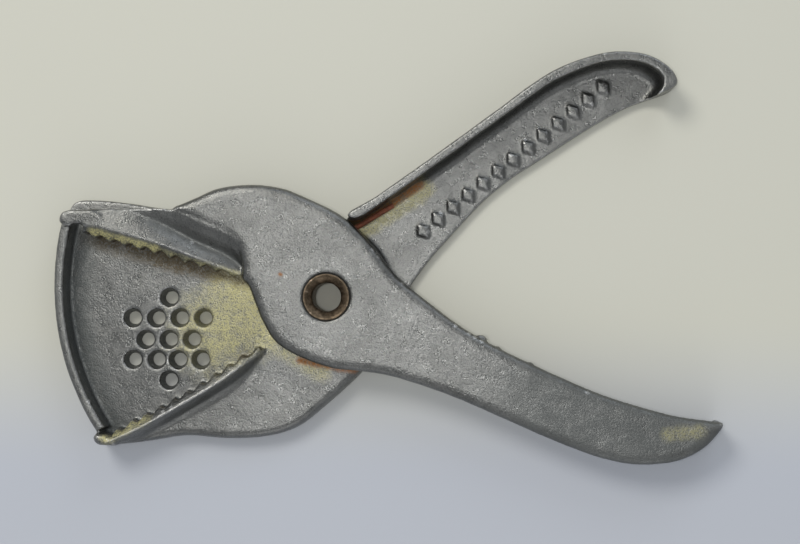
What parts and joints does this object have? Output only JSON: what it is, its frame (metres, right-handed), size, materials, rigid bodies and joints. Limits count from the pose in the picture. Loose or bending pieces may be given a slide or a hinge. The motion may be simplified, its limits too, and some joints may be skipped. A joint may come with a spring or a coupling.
{
  "type": "hand citrus squeezer",
  "caption": "Plier-type hand squeezer: cast levers with toothed jaws over a perforated plate, on a hollow rivet and sprung open.",
  "frame": {"origin": "on the surface that the back rests on, under the middle of the box round the open squeezer", "axes": "+Z along the pivot, from the back lever to the front lever; +X from the jaws towards the handles; +Y from the lower jaw towards the upper jaw"},
  "size_m": [0.1926, 0.1178, 0.0141],
  "materials": {
    "cast_back": "satin sand-cast, darkened",
    "cast_front": "satin sand-cast, handled",
    "rivet_steel": "dull, browned",
    "spring_steel": "rusted"
  },
  "bodies": {
    "back": {"back_lever": "cast_back", "hollow_rivet": "rivet_steel", "torsion_spring": "spring_steel"},
    "front": {"front_lever": "cast_front"}
  },
  "joints": [
    {"name": "squeeze", "type": "hinge", "parent": "back", "child": "front", "pos_m": [-0.01666, -0.01136, 0.007], "axis": [0, 0, 1], "range_deg": [0, 45], "stiffness_Nm_per_rad": 0.25, "springref_deg": -20.05, "deforming": ["torsion_spring"]}
  ]
}
